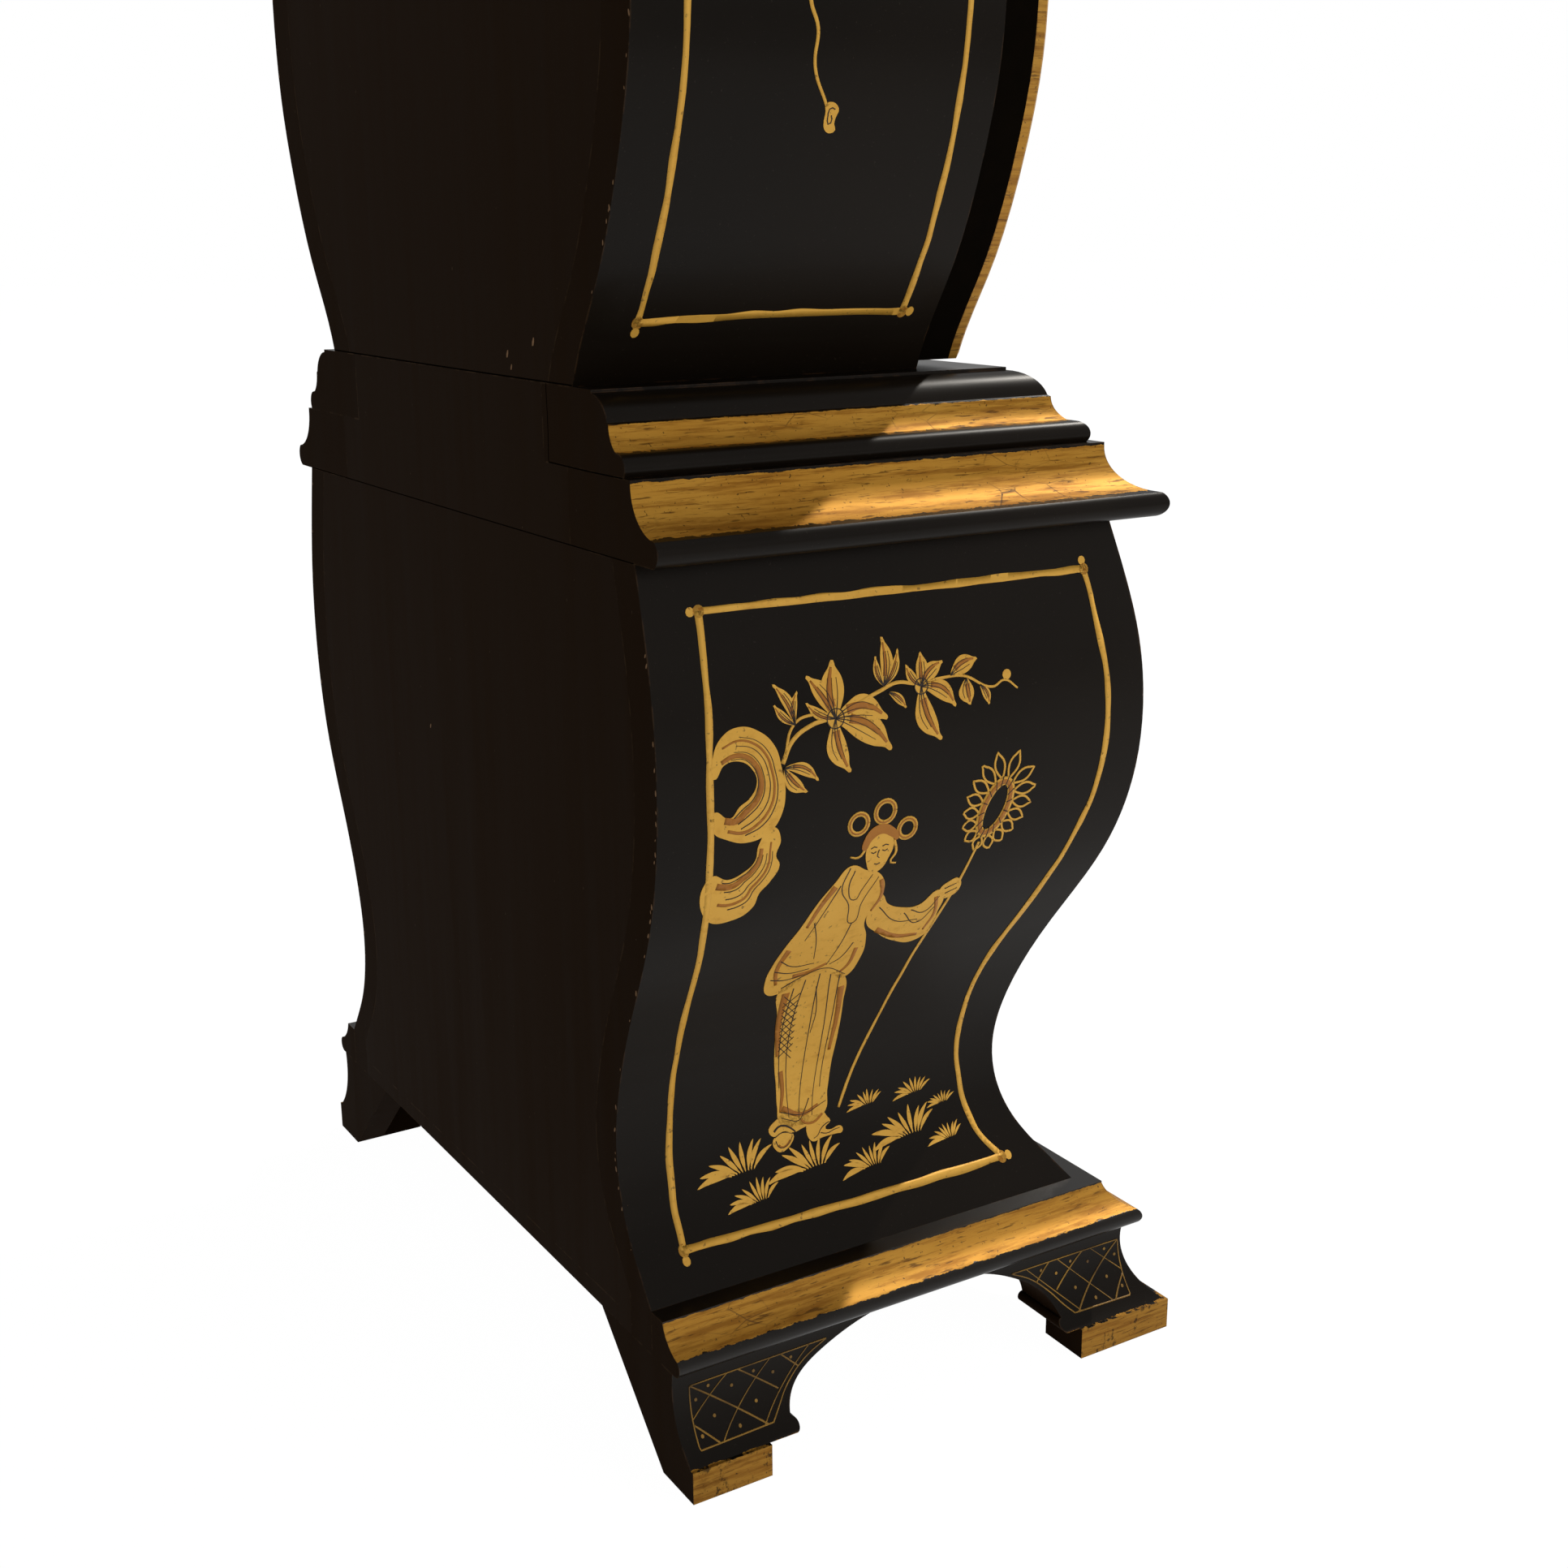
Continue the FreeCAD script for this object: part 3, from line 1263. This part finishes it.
def weight_stirrup():
    """Two cheeks either side of the pulley, its pin, and the block that the weight hangs from."""
    inner = pulley_thickness / 2 + stirrup_gap
    outer = inner + stirrup_thickness
    top = pulley_z + stirrup_half_width
    block_top = stirrup_bottom_z + stirrup_block
    half = stirrup_half_width
    return joined([slab(half, pulley_depth - outer, pulley_depth + outer, stirrup_bottom_z, block_top),
                   slab(half, pulley_depth - outer, pulley_depth - inner, stirrup_bottom_z, top),
                   slab(half, pulley_depth + inner, pulley_depth + outer, stirrup_bottom_z, top),
                   turned(0, pulley_z, pivot_radius, pulley_depth - outer, pulley_depth + outer)])


def drive_weight():
    """A brass-cased weight with a low crown, hanging by its stem."""
    shoulder = weight_top_z - weight_crown
    crown = [(out * weight_radius, shoulder + up * weight_crown) for out, up in weight_crown_shares]
    outline = [(weight_stem_radius, weight_top_z), (weight_stem_radius, stirrup_bottom_z),
               (0, stirrup_bottom_z), (0, weight_bottom_z), (weight_radius, weight_bottom_z)]
    strokes = chain(outline + crown + [outline[0]])
    return face_of(strokes, across(pulley_depth)).revolve(at(0, pulley_depth, 0), Vector(0, 0, 1), 360)


def weight_line():
    """The gut line: from the barrel down round the pulley and up to its hole in the seat board."""
    down = upright(-pulley_radius, pulley_depth, line_radius, pulley_z, barrel_z)
    up = upright(pulley_radius, pulley_depth, line_radius, pulley_z, seat_top_z)
    ring = Part.makeTorus(pulley_radius, line_radius, at(0, pulley_depth, pulley_z), Vector(0, 1, 0))
    far = pulley_radius + overrun
    lower = ring.common(slab(far, pulley_depth - overrun, pulley_depth + overrun, pulley_z - far, pulley_z))
    return joined([down, lower, up])


nodes = {}
nodes["foot_front_left"] = front_left_foot()
nodes["foot_front_right"] = on_other_side(nodes["foot_front_left"])
nodes["foot_rear_left"] = rear_left_foot()
nodes["foot_rear_right"] = on_other_side(nodes["foot_rear_left"])
nodes["base_left_panel"] = left_run(base_panel_section(), plan_offset)
nodes["base_right_panel"] = on_other_side(nodes["base_left_panel"])
nodes["base_front_panel"] = front_run(base_panel_section(), plan_offset)
nodes["base_back_board"] = base_back()
nodes["base_floor"] = base_floor()
nodes["plinth_moulding"] = moulding(plinth_section(), plinth_section(), plan_offset)
nodes["waist_moulding_lower"] = moulding(lower_tier_section(), lower_tier_section(), plan_offset)
nodes["waist_moulding_upper"] = moulding(upper_tier_section(), upper_tier_section(), plan_offset)
nodes["trunk_left_side"] = trunk_left()
nodes["trunk_right_side"] = trunk_right()
nodes["trunk_back_board"] = trunk_back()
nodes["trunk_rails"] = trunk_rails()
nodes["trunk_door"] = trunk_door()
nodes["trunk_door_bead"] = trunk_door_bead()
nodes["trunk_door_escutcheon"] = escutcheon()
nodes["trunk_door_key"] = door_key()
nodes["trunk_hinge_case_leaves"] = Part.makeCompound(
    [hinge_fixed(trunk_hinge_x(), trunk_leaf_width, trunk_side_depth, z) for z in trunk_hinge_heights()])
nodes["trunk_hinge_door_leaves"] = Part.makeCompound(
    [hinge_moving(trunk_hinge_x(), trunk_leaf_width, trunk_side_depth, z) for z in trunk_hinge_heights()])
nodes["throat_moulding"] = moulding(throat_section(trunk_neck_half_width),
                                    throat_section(trunk_side_depth - hood_plan_offset), hood_plan_offset)
nodes["hood_left_side"] = hood_left()
nodes["hood_right_side"] = hood_right()
nodes["hood_mask_frame"] = hood_mask()
nodes["hood_top_board"] = hood_top_board()
nodes["hood_cornice"] = moulding(
    cornice_section(cornice_inner_half_width),
    cornice_section(cornice_inner_half_width + hood_frame_depth - hood_front_depth), hood_plan_offset)
nodes["hood_bell_top"] = bell_top()
nodes["hood_finial"] = finial()
nodes["hood_door_frame"] = hood_door()
nodes["hood_door_glass"] = hood_glass()
nodes["hood_hinge_case_leaves"] = Part.makeCompound(
    [hinge_fixed(hood_hinge_x(), hood_leaf_width, hood_frame_depth, z) for z in hood_hinge_heights()])
nodes["hood_hinge_door_leaves"] = Part.makeCompound(
    [hinge_moving(hood_hinge_x(), hood_leaf_width, hood_frame_depth, z) for z in hood_hinge_heights()])
nodes["seat_board"] = seat_board()
nodes["dial_plate"] = dial_plate()
nodes["chapter_ring"] = chapter_ring()
nodes["hour_hand"] = hand(ring_inner_radius - hour_hand_margin, hour_hand_angle_deg, hour_pipe_radius,
                          hour_hand_depth)
nodes["minute_hand"] = hand(ring_outer_radius - minute_hand_margin, minute_hand_angle_deg, arbor_radius,
                            minute_hand_depth)
nodes["movement_back_plate"] = back_plate()
nodes["movement_front_plate"] = front_plate()
nodes["movement_pillars"] = plate_pillars()
nodes["great_wheel"] = great_wheel()
nodes["winding_barrel"] = winding_barrel()
nodes["centre_wheel"] = centre_wheel()
nodes["third_wheel"] = third_wheel()
nodes["escape_wheel"] = escape_wheel()
nodes["anchor_and_crutch"] = anchor()
nodes["pendulum_cock"] = pendulum_cock()
nodes["suspension_spring"] = suspension_spring()
nodes["pendulum_rod"] = pendulum_rod()
nodes["pendulum_bob"] = pendulum_bob()
nodes["rating_nut"] = rating_nut()
nodes["cannon_pinion"] = cannon_pinion()
nodes["minute_wheel"] = minute_wheel()
nodes["hour_wheel"] = hour_wheel()
nodes["weight_pulley"] = weight_pulley()
nodes["weight_stirrup"] = weight_stirrup()
nodes["drive_weight"] = drive_weight()
nodes["weight_line"] = weight_line()

os.makedirs("parts", exist_ok=True)
for name, shape in nodes.items():
    shape.exportStep(os.path.join("parts", name + ".step"))
    box = shape.BoundBox
    span = (round(box.ZMin, 1), round(box.ZMax, 1))
    print(name, len(shape.Solids), shape.isValid(), round(shape.Volume), *span)
